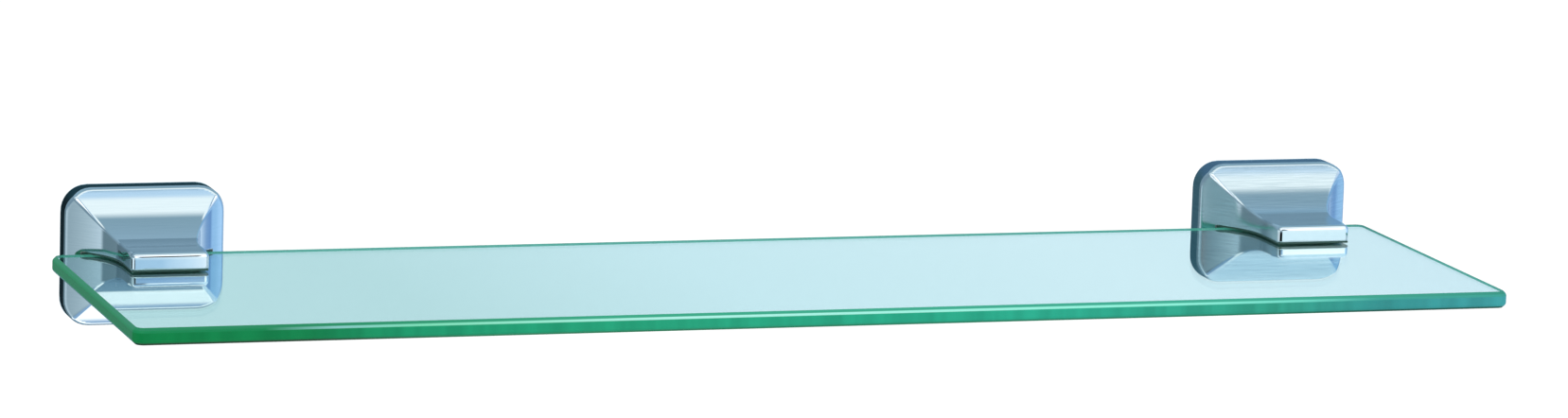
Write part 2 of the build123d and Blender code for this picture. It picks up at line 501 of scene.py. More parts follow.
@dataclass(frozen=True)
class FloatGlass:
    """Clear soda-lime float glass, its two faces flat from the tin bath.

    The eye gets a clear view through it with a trace of blue-green, and a pale mirror at the
    low angles at which a shelf is seen. Lamps reach what is under it.
    """

    colour: str = "#EEF8F8"  # for each face that light passes
    body_colour: str = "#DFF2F2"  # for both faces together
    shade_colour: str = "#E6FAFC"
    ior: float = 1.52
    mirror_share: float = 0.30
    wave_mm: float = 60.0
    wave_depth_mm: float = 0.004
    wave_strength: float = 0.3

    def material(self) -> Material:
        """Builds the material.

        Returns:
            Glass that lets lamp light and soft light straight through.
        """
        material, tree = new_material("float_glass")
        place = add_node(tree, "TexCoord")["Object"]
        swell = {"Scale": 1 / (self.wave_mm * MM), "Detail": 0.0, "Vector": place}
        wave = add_node(tree, "TexNoise", swell)["Fac"]
        depth = self.wave_depth_mm * MM
        bump = {"Strength": self.wave_strength, "Distance": depth, "Height": wave}
        flat = {"Roughness": 0.0, "IOR": self.ior, "Normal": add_node(tree, "Bump", bump)["Normal"]}
        body = {"Base Color": srgb(self.body_colour), "Transmission Weight": 1.0, **flat}
        whole = add_node(tree, "BsdfPrincipled", body)["BSDF"]
        clean = {"Color": srgb(self.colour), **flat}
        through = add_node(tree, "BsdfRefraction", clean)["BSDF"]
        glass = add_node(tree, "MixShader", None, self.mirror_share, through, whole)["Shader"]
        clear = add_node(tree, "BsdfTransparent", None, srgb(self.shade_colour))["BSDF"]
        rays = add_node(tree, "LightPath")
        either = {"operation": "MAXIMUM", 0: rays["Is Shadow Ray"], 1: rays["Is Diffuse Ray"]}
        soft = add_node(tree, "Math", either)["Value"]
        mixed = add_node(tree, "MixShader", None, soft, glass, clear)["Shader"]
        add_node(tree, "OutputMaterial", None, mixed)
        return material


@dataclass(frozen=True)
class GroundGlassEdge:
    """The ground and polished edge of float glass, green from the long way light comes.

    The eye gets a deep green band, with painted light that turns it bluer along the pane, a
    paler arris above it from painted light, a painted highlight line where arris and edge meet,
    and a painted shade line along the lowest corner. Through the glass the far edge is paler,
    from a painted colour that stands in for light from behind.
    """

    # green of the glass, with painted light that turns it bluer along the pane
    green_with_painted_light: Bands = (
        (-0.250, "#12874A"), (-0.190, "#17854F"), (-0.150, "#22A072"), (-0.050, "#2AAA82"),
        (0.080, "#2DB192"), (0.160, "#34A48C"), (0.200, "#389A98"), (0.250, "#40A4A8"),
    )
    # painted highlight line where the arris meets the edge
    painted_highlight_line_colours: Bands = (
        (-0.250, -0.205, "#1E8A56"), (-0.180, "#8ACCC8"), (-0.150, "#7CE0B8"), (-0.060, "#B4F6EA"),
        (0.120, "#90F4DC"), (0.170, "#70DCC8"), (0.200, 0.250, "#40A498"),
    )
    # painted light that makes the arris paler than the edge
    painted_arris_light_colours: Bands = (
        (-0.250, -0.200, "#2A8A60"), (-0.080, "#3CA886"), (0.150, "#44AE96"), (0.250, "#3A9684"),
    )
    # painted shade line where the lower arris turns under
    painted_shade_line_colours: Bands = (
        (-0.250, -0.190, "#08391F"), (-0.130, "#1C8058"), (0.150, "#1C8464"),
        (0.200, 0.250, "#12584A"),
    )
    # painted light from behind, on the far edge seen from inside the glass
    painted_backlight_colour: str = "#63B8A4"
    roughness: float = 0.16
    ior: float = 1.52
    sheen: float = 0.05
    bar_spacing_mm: float = 9.0
    bar_detail: float = 2.0
    bar_contrast: Span = (0.35, 0.65)
    bar_depths: Span = (0.88, 1.06)
    # where the painted highlight line, the painted light on the arris and the painted shade line lie
    painted_highlight_slopes: Span = (0.03, 0.2)
    painted_arris_light_slopes: Span = (0.55, 0.70)
    painted_shade_heights: Span = (-0.0030, -0.0034)

    def material(self) -> Material:
        """Builds the material.

        Returns:
            Glossy green with painted light and shade that change along the pane and with the
            slope of the surface.
        """
        material, tree = new_material("ground_glass_edge")
        place = add_node(tree, "TexCoord")["Object"]
        spot = add_node(tree, "SeparateXYZ", {"Vector": place})
        across = spot["X"]
        geometry = add_node(tree, "NewGeometry")
        slope = add_node(tree, "SeparateXYZ", {"Vector": geometry["Normal"]})["Z"]
        rhythm = {"noise_dimensions": "1D", "Scale": 1 / (self.bar_spacing_mm * MM)}
        bars = add_node(tree, "TexNoise", {**rhythm, "Detail": self.bar_detail, "W": across})["Fac"]
        shades = (*self.bar_contrast, *self.bar_depths)
        depth = add_node(tree, "MapRange", None, bars, *shades)["Result"]
        # Glass green with its painted light along the pane, dimmed in random bars.
        green = colour_along(tree, across, self.green_with_painted_light)
        barred = {"operation": "SCALE", 0: green, "Scale": depth}
        colour = add_node(tree, "VectorMath", barred)["Vector"]
        # Lays the painted highlight line, the painted light on the arris and the painted shade line over
        # the green.
        for measure, limits, bands in (
            (slope, self.painted_highlight_slopes, self.painted_highlight_line_colours),
            (slope, self.painted_arris_light_slopes, self.painted_arris_light_colours),
            (spot["Z"], self.painted_shade_heights, self.painted_shade_line_colours),
        ):
            share = add_node(tree, "MapRange", SMOOTH, measure, *limits)["Result"]
            layer = colour_along(tree, across, bands)
            colour = add_node(tree, "Mix", {"data_type": "RGBA", 0: share, 6: colour, 7: layer})[2]
        # The far edge, seen from inside through the glass, takes the painted backlight colour.
        behind = geometry["Backfacing"]
        inside = {"data_type": "RGBA", 0: behind, 6: colour, 7: srgb(self.painted_backlight_colour)}
        colour = add_node(tree, "Mix", inside)[2]
        body = {"Roughness": self.roughness, "IOR": self.ior, "Specular IOR Level": self.sheen}
        edge = add_node(tree, "BsdfPrincipled", {**body, "Base Color": colour})
        add_node(tree, "OutputMaterial", None, edge["BSDF"])
        return material


# ---- castings -----------------------------------------------------------------------------


@dataclass
class Casting:
    """One flared bracket casting, slotted for the pane and hollow behind.

    Every edge is rounded by joining distance fields, so the plating shows even highlights.
    """

    width: float
    height: float
    projection: float
    side_depth: float = 8.0
    corner_radius: float = 9.5
    arm_width: float = 28.0
    arm_height: float = 17.4
    arm_straight: float = 13.0
    lean: float = 0.08
    slot_top: float = 2.7
    slot_bottom: float = -4.7
    slot_end: float = 12.1
    rim_radius: float = 1.1
    ridge_radius: float = 0.8
    jaw_radius: float = 2.0
    front_radius: float = 1.8
    front_blend: Span = (7.0, 2.0)  # from the front, where the edges soften towards it
    slot_radius: float = 0.35
    slot_blend: float = 1.5
    polished_depth: float = 0.9
    wall: float = 2.6
    pocket_depth: float = 8.0
    pocket_rows: tuple[float, ...] = (-1.0, 3.0, 6.7, 7.2)
    core_end: float = 24.0
    core_rows: int = 14
    arc_points: int = 45
    back_rows: tuple[float, ...] = (0.0, 2.5, 5.0, 6.0)
    floor_rows: tuple[float, ...] = (0.0, 0.4, 0.9)  # in front of the slot's floor
    flare_rows: int = 34
    arm_rows: int = 9
    front_rows: int = 16
    upper_steps: tuple[float, ...] = (1.2, 2.3, 3.4)  # over the slot, up to the evenly shared part
    lower_steps: tuple[float, ...] = (0.8, 1.4)  # and under it
    edge_margin: float = 1.2
    inner_shares: tuple[float, ...] = (0.7, 0.35, 0.0)  # of a half width, along a jaw's face
    slot_margin: float = 0.5
    least_radius: float = 1e-4
    skin_inset: float = 0.02
    heart_above: float = 3.0  # the upper jaw's middle over the slot
    heart_below: float = 2.0  # the lower jaw's middle under the slot

    def half_size(self, depth: np.ndarray, base: float, arm: float, inset: float) -> np.ndarray:
        """Gives half the casting's height or width at each depth.

        Args:
            depth: Depths from the wall.
            base: Full size at the base.
            arm: Full size along the arm.
            inset: How far the outline is drawn in.

        Returns:
            Half sizes, carried on in a straight line behind the rim.
        """
        half_base, half_arm = base / 2 - inset, arm / 2 - inset
        rim = self.side_depth - inset / 2
        run = self.projection - self.arm_straight - rim
        lean = half_arm + (half_base - half_arm) * self.lean
        t = (depth - rim) / run
        u = np.clip(t, 0.0, 1.0)
        curve = (
            (1 - u) ** 3 * half_base
            + 3 * (1 - u) ** 2 * u * lean
            + (3 * (1 - u) * u**2 + u**3) * half_arm
        )
        return curve + np.where(t < 0, 3 * (lean - half_base) * t, 0.0)

    def half_at(self, depth: float, base: float, arm: float) -> float:
        """Gives half the casting's height or width at one depth, no more than the base's."""
        return min(float(self.half_size(np.array([depth]), base, arm, 0.0)[0]), base / 2)

    def true_distance(
        self, reach: np.ndarray, depth: np.ndarray, base: float, arm: float, inset: float
    ) -> np.ndarray:
        """Gives the distance to a pair of opposite flares.

        Args:
            reach: How far each point is from the arm's middle, across or in height.
            depth: Depths from the wall.
            base: Full size at the base, in that direction.
            arm: Full size along the arm.
            inset: How far the outline is drawn in.

        Returns:
            Distances, square to the flare and negative inside.
        """
        step = 0.01
        rise = self.half_size(depth + step, base, arm, inset) - self.half_size(
            depth - step, base, arm, inset
        )
        past = reach - self.half_size(depth, base, arm, inset)
        return past * (1 / np.sqrt(1 + (rise / (2 * step)) ** 2))

    def base_field(self, across: np.ndarray, height: np.ndarray, inset: float) -> np.ndarray:
        """Gives the distance to the base's rounded outline.

        Args:
            across: Places along the shelf.
            height: Heights.
            inset: How far the outline is drawn in.

        Returns:
            Distances, negative inside.
        """
        radius = self.corner_radius - inset
        a = np.abs(across) - (self.width / 2 - inset - radius)
        b = np.abs(height) - (self.height / 2 - inset - radius)
        outside = np.hypot(np.maximum(a, 0), np.maximum(b, 0))
        return outside + np.minimum(np.maximum(a, b), 0) - radius

    def flare_fields(
        self, across: np.ndarray, depth: np.ndarray, height: np.ndarray, inset: float
    ) -> tuple[np.ndarray, np.ndarray]:
        """Gives the distances to the side flares, and to the upper and lower ones."""
        return (
            self.true_distance(np.abs(across), depth, self.width, self.arm_width, inset),
            self.true_distance(np.abs(height), depth, self.height, self.arm_height, inset),
        )

    def outside(self, across: np.ndarray, depth: np.ndarray, height: np.ndarray) -> np.ndarray:
        """Gives the distance to the casting's outside, slot included.

        Args:
            across: Places along the shelf.
            depth: Depths from the wall.
            height: Heights.

        Returns:
            Distances, negative in the metal.
        """
        inset = self.skin_inset
        sides, levels = self.flare_fields(across, depth, height, inset)
        front = depth - (self.projection - inset)
        plan = round_cut(sides, front, self.jaw_radius)
        soft_from, soft_to = (self.projection - back for back in self.front_blend)
        ends = smooth_step(soft_from, soft_to, depth)
        edge = self.ridge_radius + (self.front_radius - self.ridge_radius) * ends
        arm = round_cut(plan, levels, edge)
        whole = round_cut(self.base_field(across, height, inset), arm, self.rim_radius)
        middle = (self.slot_top + self.slot_bottom) / 2
        gap = (self.slot_top - self.slot_bottom) / 2
        slot = np.maximum(np.abs(height - middle) - gap, self.slot_end - depth)
        growth = smooth_step(self.slot_end, self.slot_end + self.slot_blend, depth)
        slotted = round_cut(whole, -slot, self.slot_radius * growth + self.least_radius)
        return np.where(depth > self.slot_end - self.slot_margin, slotted, whole)

    def gradient(self, points: np.ndarray, distance: Field) -> np.ndarray:
        """Gives unit normals of a field's surfaces.

        Args:
            points: One row per point, as across, depth and height.
            distance: The field.

        Returns:
            One unit vector per point.
        """
        step = 0.004
        parts = []
        for shift in np.eye(3) * step:
            ahead, behind = points + shift, points - shift
            parts.append(distance(*ahead.T) - distance(*behind.T))
        normals = np.stack(parts, 1)
        return normals / np.maximum(np.linalg.norm(normals, axis=1, keepdims=True), 1e-9)

    def on_skin(self, hearts: np.ndarray, targets: np.ndarray, depth: float) -> np.ndarray:
        """Slides each target along the ray from the middle line until it lies on the outside.

        Args:
            hearts: Heights at which the rays start, in the metal.
            targets: Points near the skin, as across and height.
            depth: Their distance from the wall.

        Returns:
            Points on the skin, as across, depth and height.
        """
        origins = np.column_stack([np.zeros(len(hearts)), hearts])
        depths = np.full(len(hearts), depth)

        def spot(reach: np.ndarray) -> np.ndarray:
            """Gives the ends of rays of some reach."""
            across, height = (origins + (targets - origins) * reach[:, None]).T
            return np.stack([across, depths, height], 1)

        reach = last_inside(lambda r: self.outside(*spot(r).T) < 0, len(hearts), PAST_TARGET)
        return spot(reach)

    def rows(self) -> tuple[np.ndarray, np.ndarray]:
        """Gives the depths of the rings of vertices.

        Returns:
            Those behind the slot's floor, and those in front of it.
        """
        rim_start, rim_end, rim_step = 6.4, 11.0, 0.16
        short = 0.001  # keeps the last ring behind clear of the slot's floor
        behind = np.concatenate(
            [
                self.back_rows,
                np.arange(rim_start, rim_end, rim_step),
                np.linspace(rim_end, self.slot_end - short, 4),
            ]
        )
        straight = self.projection - self.arm_straight
        front = self.projection - self.skin_inset
        before_turn, short_of_front = 0.2, 0.0004
        turn = front - self.jaw_radius - before_turn
        in_front = np.concatenate(
            [
                self.slot_end + np.array(self.floor_rows),
                np.linspace(self.slot_end + self.slot_blend, straight, self.flare_rows),
                np.linspace(straight, turn, self.arm_rows)[1:],
                front + (turn - front) * np.cos(np.linspace(0, math.pi / 2, self.front_rows)[1:]),
            ]
        )
        in_front = np.unique(np.round(in_front, 5))
        in_front[-1] = front - short_of_front
        return behind, in_front

    def side_heights(self, depth: float) -> tuple[np.ndarray, np.ndarray, np.ndarray]:
        """Gives the heights of the columns on one side face.

        Args:
            depth: Distance from the wall.

        Returns:
            Heights below the slot, across it and above it, each from low to high.
        """
        half = self.half_at(depth, self.height, self.arm_height)
        top, low = self.slot_top, self.slot_bottom
        even_above, even_below = top + self.upper_steps[-1], low - self.lower_steps[-1]
        above = np.concatenate(
            [
                top + EDGE_STEPS,
                top + np.array(self.upper_steps),
                even_above + (half - even_above) * NEAR_CORNER,
            ]
        )
        below = np.concatenate(
            [
                low - EDGE_STEPS,
                low - np.array(self.lower_steps),
                even_below + (-half - even_below) * NEAR_CORNER,
            ]
        )
        return below[::-1], np.linspace(low, top, 7)[1:-1], above

    def jaw_columns(self, depth: float, upper: bool) -> tuple[np.ndarray, np.ndarray]:
        """Gives targets round the outside of one jaw, and along its face in the slot.

        Args:
            depth: Distance from the wall.
            upper: True for the upper jaw.

        Returns:
            Outer targets from the right edge of the slot to the left one, going round away
            from the slot, and inner targets from the left edge back to the right, without
            the two edges. Each is across and height.
        """
        below, _, above = self.side_heights(depth)
        heights = above if upper else below[::-1]
        wide = self.half_at(depth, self.width, self.arm_width)
        shares = np.concatenate([[0.0], NEAR_CORNER])[:-1][::-1]
        face = np.concatenate([shares, -shares[::-1][1:]]) * wide
        right = np.stack([np.full(len(heights), wide), heights], 1)
        left = np.stack([np.full(len(heights), -wide), heights[::-1]], 1)
        middle = np.stack([face, np.full(len(face), heights[-1])], 1)
        edges = wide - np.concatenate([EDGE_STEPS[1:], [self.edge_margin]])
        reach = np.concatenate([edges, wide * np.array(self.inner_shares)])
        across = np.concatenate([-reach, reach[::-1][1:]])
        level = self.slot_top if upper else self.slot_bottom
        inner = np.stack([across, np.full(len(across), level)], 1)
        return np.concatenate([right, middle, left]), inner

    def jaw_ring(self, depth: float, upper: bool) -> np.ndarray:
        """Gives a closed ring of points round one jaw at a depth."""
        targets = np.concatenate(self.jaw_columns(depth, upper))
        heart = self.slot_top + self.heart_above if upper else self.slot_bottom - self.heart_below
        return self.on_skin(np.full(len(targets), heart), targets, depth)

    def base_ring(self, depth: float) -> np.ndarray:
        """Gives a closed ring of points round the whole casting, behind the slot.

        Args:
            depth: Distance from the wall.

        Returns:
            Points over the top from right to left, down the left, along the bottom, and up.
        """
        upper, lower = (self.jaw_columns(depth, above)[0] for above in (True, False))
        across = self.side_heights(depth)[1]
        wide = self.half_at(depth, self.width, self.arm_width)
        left = np.stack([np.full(len(across), -wide), across[::-1]], 1)
        right = np.stack([np.full(len(across), wide), across], 1)
        hearts = np.concatenate(
            [
                np.full(len(upper), self.slot_top + self.heart_above),
                left[:, 1],
                np.full(len(lower), self.slot_bottom - self.heart_below),
                right[:, 1],
            ]
        )
        return self.on_skin(hearts, np.concatenate([upper, left, lower[::-1], right]), depth)

    def skin(self) -> Shell:
        """Builds the outside as rings of vertices: the base, then one tube for each jaw.

        Returns:
            The outside, closed by its back, the slot's floor and the jaws' fronts.
        """
        shell = Shell()
        behind, in_front = self.rows()
        rings = [shell.add(self.base_ring(depth)) for depth in behind]
        for ring, following in zip(rings, rings[1:]):
            shell.wrap(ring, following, Face.SATIN)
        shell.face(rings[0][::-1], Face.AS_CAST)

        counts = [len(self.jaw_columns(0.0, upper)[0]) for upper in (True, False)]
        counts.insert(1, len(self.side_heights(0.0)[1]))
        upper_outer, left_side, lower_outer, right_side = (
            part.tolist() for part in np.split(np.array(rings[-1]), np.cumsum(counts))
        )
        inner = {}
        for upper, outer in ((True, upper_outer), (False, lower_outer[::-1])):
            inner[upper] = shell.add(self.jaw_ring(in_front[0], upper)[len(outer) :])
            ring = outer + inner[upper]
            for depth in in_front[1:]:
                following = shell.add(self.jaw_ring(depth, upper))
                polished = depth > self.projection - self.polished_depth
                pair = (ring, following) if upper else (following, ring)
                shell.wrap(*pair, Face.POLISHED if polished else Face.SATIN)
                ring = following
            shell.face(ring if upper else ring[::-1], Face.POLISHED)
        above = [upper_outer[-1], *inner[True], upper_outer[0]]
        below = [lower_outer[0], *inner[False], lower_outer[-1]]
        floor = [[below[i], below[i + 1], above[i + 1], above[i]] for i in range(len(above) - 1)]
        floor[0] = [*left_side, *floor[0]]
        floor[-1] = [*floor[-1][:2], *right_side, *floor[-1][2:]]
        for corners in floor:
            shell.face(corners, Face.AS_CAST)
        return shell

    def inner_field(
        self, across: np.ndarray, depth: np.ndarray, height: np.ndarray
    ) -> np.ndarray:
        """Gives the distance to the hollow's outline at each depth, negative in the hollow."""
        sides, levels = self.flare_fields(across, depth, height, self.wall)
        return np.maximum(self.base_field(across, height, self.wall), np.maximum(sides, levels))

    def inner_arc(self, depth: float, upper: bool) -> np.ndarray:
        """Gives points of the hollow's outline above or below the web.

        Args:
            depth: Distance from the wall.
            upper: True for the part above the web.

        Returns:
            Points as across, depth and height: above the web from right to left, and below
            it from left to right, so that the two make one ring.
        """
        sign = 1.0 if upper else -1.0
        middle = (self.slot_top + self.slot_bottom) / 2
        level = middle + sign * ((self.slot_top - self.slot_bottom) / 2 + self.wall)
        angles = np.linspace(0.0, math.pi, self.arc_points)
        depths = np.full(len(angles), depth)

        def spot(reach: np.ndarray) -> np.ndarray:
            """Gives the ends of rays of some reach."""
            height = level + sign * reach * np.sin(angles)
            return np.stack([reach * np.cos(angles), depths, height], 1)

        reach = last_inside(lambda r: self.inner_field(*spot(r).T) < 0, len(angles), self.width)
        return spot(reach) if upper else spot(reach)[::-1]

    def hollow(self) -> Shell:
        """Builds the space inside: a pocket, and a core above and one below the slot's web.

        Returns:
            The space's skin.
        """
        shell = Shell()
        pocket = [
            [shell.add(self.inner_arc(depth, upper)) for upper in (True, False)]
            for depth in (*self.pocket_rows, self.pocket_depth)
        ]
        for (up, down), (next_up, next_down) in zip(pocket, pocket[1:]):
            shell.wrap(up + down, next_up + next_down, Face.CORED)
        up, down = pocket[0]
        shell.face((up + down)[::-1], Face.CORED)
        up, down = pocket[-1]
        shell.face([up[0], up[-1], down[0], down[-1]], Face.CORED)
        for arc, upper in ((up, True), (down, False)):
            for depth in np.linspace(self.pocket_depth, self.core_end, self.core_rows)[1:]:
                following = shell.add(self.inner_arc(depth, upper))
                shell.wrap(arc, following, Face.CORED)
                arc = following
            shell.face(arc, Face.CORED)
        return shell


@dataclass
class Bracket:
    """The visible casting of one bracket: satin outside, polished jaw fronts, as cast within."""

    casting: Casting
    materials: list[Material]
    hook_width: float = 30.0
    hook_depth: float = 3.6
    hook_low: float = 14.15
    hook_rise: float = 1.2
    boss_width: float = 9.0
    boss_height: float = 4.0
    bore_radius: float = 2.05
    bore_sides: int = 48
    base_bore_depth: float = 4.0
    clamp_bore_from_front: float = 8.0
    cut_past: float = 2.0  # how far a tool stands out behind the back
    bore_past: float = 1.0  # how far a bore's tool stands out at either end
    boss_overlap: float = 0.5  # how far the boss runs into the wall before the pocket
    inward: float = 0.02  # how far inside its face a corner's normal is taken
    inward_share: float = 0.3  # the most of the way to the face's middle
    floor_margin: float = 0.01  # how far behind the slot's floor it is taken at the most
    flattest: float = 0.3  # a normal that leans further from its face is given up

    def solid(self, name: str, shell: Shell) -> bpy.types.Object:
        """Makes a closed helper solid, in metres, with the casting's list of materials."""
        points = np.concatenate(shell.points) * (MM, -MM, MM)
        mesh = make_mesh(name, points, shell.faces, shell.finish)
        for material in self.materials:
            mesh.materials.append(material)
        return link_object(name, mesh)

    def cut(self, body: bpy.types.Object, tool: bpy.types.Object) -> None:
        """Takes a tool's space out of a body, and drops the tool.

        Args:
            body: Solid that is cut.
            tool: Solid that is taken away.
        """
        step = body.modifiers.new("cut", "BOOLEAN")
        step.operation, step.solver, step.object = "DIFFERENCE", "EXACT", tool
        graph = bpy.context.evaluated_depsgraph_get()
        result = bpy.data.meshes.new_from_object(body.evaluated_get(graph))
        body.modifiers.clear()
        spent = (body.data, tool.data)
        body.data = result
        bpy.data.objects.remove(tool)
        for mesh in spent:
            bpy.data.meshes.remove(mesh)

    def bore(self, depth: float, low: float, high: float) -> Shell:
        """Gives the tool for an upright bore.

        Args:
            depth: Distance of the bore's axis from the wall.
            low: Height at which the tool starts.
            high: Height at which it ends.

        Returns:
            A round bar.
        """
        turn = np.linspace(0, 2 * math.pi, self.bore_sides, endpoint=False)
        ring = np.stack([np.cos(turn), np.sin(turn)], 1) * self.bore_radius
        return upright_bar(ring + (0, depth), low, high, Face.BORED)

    def hook(self, top: float) -> Shell:
        """Gives the lip that hangs on the wall plate, undercut like the plate's edge.

        Args:
            top: Height of the casting's top.

        Returns:
            A bar along the shelf.
        """
        outline = [
            (-self.cut_past, top),
            (-self.cut_past, self.hook_low),
            (0.0, self.hook_low),
            (self.hook_depth, self.hook_low + self.hook_rise),
            (self.hook_depth, top),
        ]
        half = self.hook_width / 2
        ends = [np.array([(x, *spot) for spot in outline]) for x in (-half, half)]
        return prism(*ends, Face.AS_CAST)

    def boss(self, low: float, high: float) -> Shell:
        """Gives the block that holds the base screw, between two heights."""
        half, back = self.boss_width / 2, -self.cut_past
        front = self.casting.pocket_depth + self.boss_overlap
        plan = np.array([(-half, back), (half, back), (half, front), (-half, front)])
        return upright_bar(plan, low, high, Face.AS_CAST)

    def casting_mesh(self) -> bpy.types.Mesh:
        """Builds the casting once, in its own place.

        Returns:
            A hollow, bored casting with smooth plating and crisp machining.
        """
        shape = self.casting
        top = shape.height / 2
        floor = -top + shape.wall + self.boss_height
        body = self.solid("casting", shape.skin())
        inside = self.solid("hollow", shape.hollow())
        self.cut(inside, self.solid("hook_lip", self.hook(top)))
        self.cut(inside, self.solid("screw_boss", self.boss(-top, floor)))
        self.cut(body, inside)
        clamp_depth = shape.projection - self.clamp_bore_from_front
        under = -shape.arm_height / 2
        for name, depth, low, high in (
            ("base_bore", self.base_bore_depth, -top, floor),
            ("clamp_bore", clamp_depth, under, shape.slot_bottom),
        ):
            tool = self.bore(depth, low - self.bore_past, high + self.bore_past)
            self.cut(body, self.solid(name, tool))
        mesh = body.data
        bpy.data.objects.remove(body)
        self.shade(mesh)
        return mesh

    def shade(self, mesh: bpy.types.Mesh) -> None:
        """Gives every face corner the normal of the surface that it stands for.

        Args:
            mesh: The casting, in metres.
        """
        shape, own_terms = self.casting, (1 / MM, -1 / MM, 1 / MM)
        vertex_of = read_all(mesh.loops, "vertex_index", kind=np.int32)
        spots = read_all(mesh.vertices, "co", 3)[vertex_of] * own_terms
        sizes = read_all(mesh.polygons, "loop_total", kind=np.int32)
        face_of = np.repeat(np.arange(len(sizes)), sizes)
        kind = read_all(mesh.polygons, "material_index", kind=np.int32)[face_of]
        flat = read_all(mesh.polygons, "normal", 3)[face_of] * (1, -1, 1)
        middle = read_all(mesh.polygons, "center", 3)[face_of] * own_terms
        reach = np.maximum(np.linalg.norm(middle - spots, axis=1, keepdims=True), 1e-6)
        near = spots + (middle - spots) * np.minimum(self.inward / reach, self.inward_share)
        behind = middle[:, 1] < shape.slot_end
        deepest = shape.slot_end - self.floor_margin
        near[:, 1] = np.where(behind, np.minimum(near[:, 1], deepest), near[:, 1])
        plated = np.isin(kind, (Face.SATIN.value, Face.POLISHED.value))
        cored, bored = kind == Face.CORED.value, kind == Face.BORED.value
        normals = flat.copy()
        normals[plated] = shape.gradient(near[plated], shape.outside)
        normals[cored] = -shape.gradient(near[cored], shape.inner_field)
        axis = np.where(
            spots[:, 1] > shape.core_end,
            shape.projection - self.clamp_bore_from_front,
            self.base_bore_depth,
        )
        radial = np.stack([-spots[:, 0], axis - spots[:, 1], np.zeros(len(spots))], 1)
        normals[bored] = radial[bored] / self.bore_radius
        wrong = np.einsum("ij,ij->i", normals, flat) < self.flattest
        normals[wrong] = flat[wrong]
        mesh.polygons.foreach_set("use_smooth", np.ones(len(sizes), bool))
        mesh.normals_split_custom_set([tuple(n) for n in (normals * (1, -1, 1)).tolist()])
        mesh.update()

    def place(
        self, mesh: bpy.types.Mesh, side: Side, centre: float, outside: Material
    ) -> bpy.types.Object:
        """Puts the casting at one end of the shelf.

        Args:
            mesh: The casting in its own place.
            side: Which end.
            centre: Its middle along the shelf, in metres.
            outside: The plating's finish on this one.

        Returns:
            The placed piece, riding on the brackets.
        """
        piece = link_object(f"casting_{side.value}", mesh.copy())
        piece.data.materials[Face.SATIN.value] = outside
        piece.location = (centre, 0, 0)
        bpy.context.view_layer.update()
        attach(piece, "brackets")
        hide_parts(f"bracket_body_{side.value}")
        return piece


# ---- pane ---------------------------------------------------------------------------------


@dataclass
class Pane:
    """The float-glass pane: flat faces, rounded plan corners and a ground, polished edge."""

    low: Vector
    high: Vector
    glass: Material
    edge: Material
    corner_radius: float = 4.0
    arris: float = 1.2
    face_radius: float = 0.3  # where a face meets its arris
    edge_radius: float = 1.6  # where an arris meets the edge
    corner_steps: int = 20
    round_steps: int = 7

    def profile(self) -> list[tuple[float, float, float, float]]:
        """Gives the edge's section from the top face down to the bottom face.

        Returns:
            For each point its inset from the outline, its height from the middle, and the
            outward and upward parts of its normal.
        """
        half = (self.high.z - self.low.z) / MM / 2
        turn = math.tan(math.pi / 8)
        above, beside = self.face_radius, self.edge_radius
        top = []
        for start, stop, inset, height, radius in (
            (math.pi / 2, math.pi / 4, self.arris + above * turn, half - above, above),
            (math.pi / 4, 0.0, beside, half - self.arris - beside * turn, beside),
        ):
            for angle in np.linspace(start, stop, self.round_steps):
                out, up = math.cos(angle), math.sin(angle)
                top.append((inset - radius * out, height + radius * up, out, up))
        return top + [(inset, -height, out, -up) for inset, height, out, up in reversed(top)]

    def outline(self) -> np.ndarray:
        """Gives the pane's rounded plan.

        Returns:
            For each point the middle of its corner's rounding and the direction from there.
        """
        half_x, half_y = ((b - a) / 2 / MM for a, b in zip(self.low[:2], self.high[:2]))
        turn = np.linspace(0, math.pi / 2, self.corner_steps + 1)
        rows = []
        for quarter, (sx, sy) in enumerate(((1, 1), (-1, 1), (-1, -1), (1, -1))):
            corner = (sx * (half_x - self.corner_radius), sy * (half_y - self.corner_radius))
            for angle in turn + quarter * math.pi / 2:
                rows.append((*corner, math.cos(angle), math.sin(angle)))
        return np.array(rows)

    def mesh(self) -> bpy.types.Mesh:
        """Builds the pane as loops round its outline, one for each point of the profile.

        Returns:
            The mesh, its faces of glass and its edge ground.
        """
        around = self.outline()
        count = len(around)
        points, vectors = [], []
        for inset, height, out, up in self.profile():
            flat = around[:, :2] + around[:, 2:] * (self.corner_radius - inset)
            points.append(np.column_stack([flat, np.full(count, height)]))
            vectors.append(np.column_stack([around[:, 2:] * out, np.full(count, up)]))
        last = (len(points) - 1) * count
        faces = [
            [ring + i, ring + count + i, ring + count + (i + 1) % count, ring + (i + 1) % count]
            for ring in range(0, last, count)
            for i in range(count)
        ]
        finish = [1] * len(faces) + [0, 0]
        edge_normals = np.concatenate(vectors)[np.concatenate(faces)]
        faces += [list(range(count)), list(range(last + count - 1, last - 1, -1))]
        normals = np.vstack([edge_normals, [(0, 0, 1)] * count, [(0, 0, -1)] * count])
        middle = np.array((self.low + self.high) / 2)
        mesh = make_mesh("pane", np.concatenate(points) * MM + middle, faces, finish, normals)
        mesh.materials.append(self.glass)
        mesh.materials.append(self.edge)
        return mesh

    def build(self) -> bpy.types.Object:
        """Builds the pane and lets it slide with its body."""
        piece = link_object("pane_glass", self.mesh())
        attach(piece, "pane")
        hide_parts("glass_shelf")
        return piece


# ---- fittings -----------------------------------------------------------------------------


@dataclass
class Fittings:
    """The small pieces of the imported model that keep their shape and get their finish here."""

    finishes: dict[str, Material]

    def dress(self) -> int:
        """Gives each fitting at both ends its material.

        Returns:
            How many pieces were dressed.
        """
        count = 0
        for stem, material in self.finishes.items():
            for side in Side:
                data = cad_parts[f"{stem}_{side.value}"].data
                if data.materials:
                    data.materials[0] = material
                else:
                    data.materials.append(material)
                count += 1
        return count


# ---- studio -------------------------------------------------------------------------------


